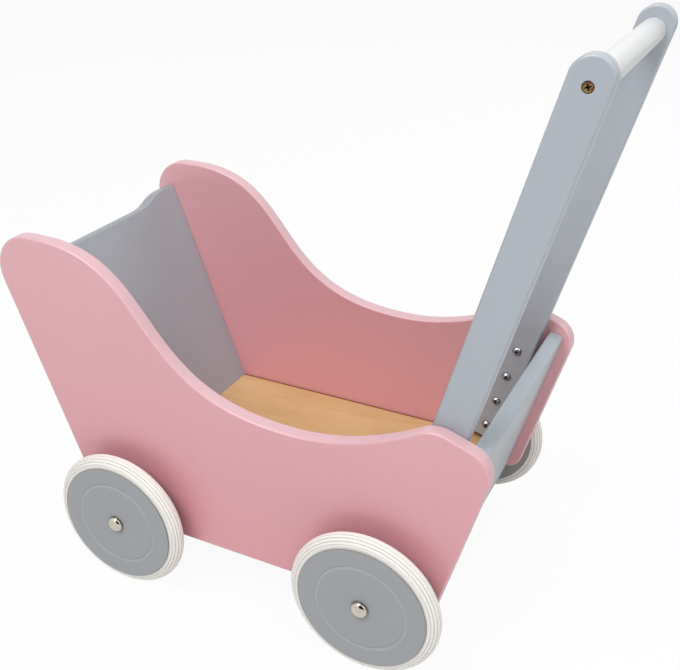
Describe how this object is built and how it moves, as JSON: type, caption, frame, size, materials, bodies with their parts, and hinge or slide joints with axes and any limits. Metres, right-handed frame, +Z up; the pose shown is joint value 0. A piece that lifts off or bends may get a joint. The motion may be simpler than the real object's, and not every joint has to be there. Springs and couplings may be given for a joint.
{
  "type": "wooden doll pram",
  "caption": "Wooden doll pram: curved side boards, leaning end boards and a plywood floor on ribbed-tyre wheels, pushed by a round bar between two slanted arms.",
  "frame": {"origin": "on the ground, under the middle of the bounding box", "axes": "+X towards the handle, against the way the pram is pushed; +Y to the right of the way it is pushed when looking along -X with +Z up, so the left side is at -Y; +Z up"},
  "size_m": [0.4542, 0.289, 0.4562],
  "materials": {
    "pink_paint": "satin paint on board",
    "grey_paint": "satin paint on board",
    "white_paint": "satin paint on a turned bar",
    "birch_ply": "clear-coated plywood",
    "beech": "raw dowel",
    "rubber": "matte, cream white",
    "steel": "zinc plated",
    "chrome": "polished",
    "brass": "dull",
    "nylon": "natural"
  },
  "bodies": {
    "pram": {"arm_screw_1_left": "steel", "arm_screw_1_right": "steel", "arm_screw_2_left": "steel", "arm_screw_2_right": "steel", "arm_screw_3_left": "steel", "arm_screw_3_right": "steel", "arm_screw_4_left": "steel", "arm_screw_4_right": "steel", "axle_front": "steel", "axle_rear": "steel", "dowel_floor_1_left": "beech", "dowel_floor_1_right": "beech", "dowel_floor_2_left": "beech", "dowel_floor_2_right": "beech", "dowel_floor_3_left": "beech", "dowel_floor_3_right": "beech", "dowel_foot_1_left": "beech", "dowel_foot_1_right": "beech", "dowel_foot_2_left": "beech", "dowel_foot_2_right": "beech", "dowel_head_1_left": "beech", "dowel_head_1_right": "beech", "dowel_head_2_left": "beech", "dowel_head_2_right": "beech", "floor_panel": "birch_ply", "foot_panel": "grey_paint", "handle_arm_left": "grey_paint", "handle_arm_right": "grey_paint", "handle_bar": "white_paint", "handle_screw_left": "brass", "handle_screw_right": "brass", "head_panel": "grey_paint", "hub_cap_front_left": "chrome", "hub_cap_front_right": "chrome", "hub_cap_rear_left": "chrome", "hub_cap_rear_right": "chrome", "side_panel_left": "pink_paint", "side_panel_right": "pink_paint", "wheel_spacer_front_left": "nylon", "wheel_spacer_front_right": "nylon", "wheel_spacer_rear_left": "nylon", "wheel_spacer_rear_right": "nylon", "wheel_washer_front_left": "steel", "wheel_washer_front_right": "steel", "wheel_washer_rear_left": "steel", "wheel_washer_rear_right": "steel"},
    "wheel_front_left": {"wheel_disc_front_left": "grey_paint", "tyre_front_left": "rubber"},
    "wheel_front_right": {"wheel_disc_front_right": "grey_paint", "tyre_front_right": "rubber"},
    "wheel_rear_left": {"wheel_disc_rear_left": "grey_paint", "tyre_rear_left": "rubber"},
    "wheel_rear_right": {"wheel_disc_rear_right": "grey_paint", "tyre_rear_right": "rubber"}
  },
  "joints": [
    {"name": "front_left_roll", "type": "hinge", "parent": "pram", "child": "wheel_front_left", "pos_m": [-0.11727, -0.1317, 0.06], "axis": [0, 1, 0], "continuous": true},
    {"name": "front_right_roll", "type": "hinge", "parent": "pram", "child": "wheel_front_right", "pos_m": [-0.11727, 0.1317, 0.06], "axis": [0, 1, 0], "continuous": true},
    {"name": "rear_left_roll", "type": "hinge", "parent": "pram", "child": "wheel_rear_left", "pos_m": [0.10273, -0.1317, 0.06], "axis": [0, 1, 0], "continuous": true},
    {"name": "rear_right_roll", "type": "hinge", "parent": "pram", "child": "wheel_rear_right", "pos_m": [0.10273, 0.1317, 0.06], "axis": [0, 1, 0], "continuous": true}
  ]
}
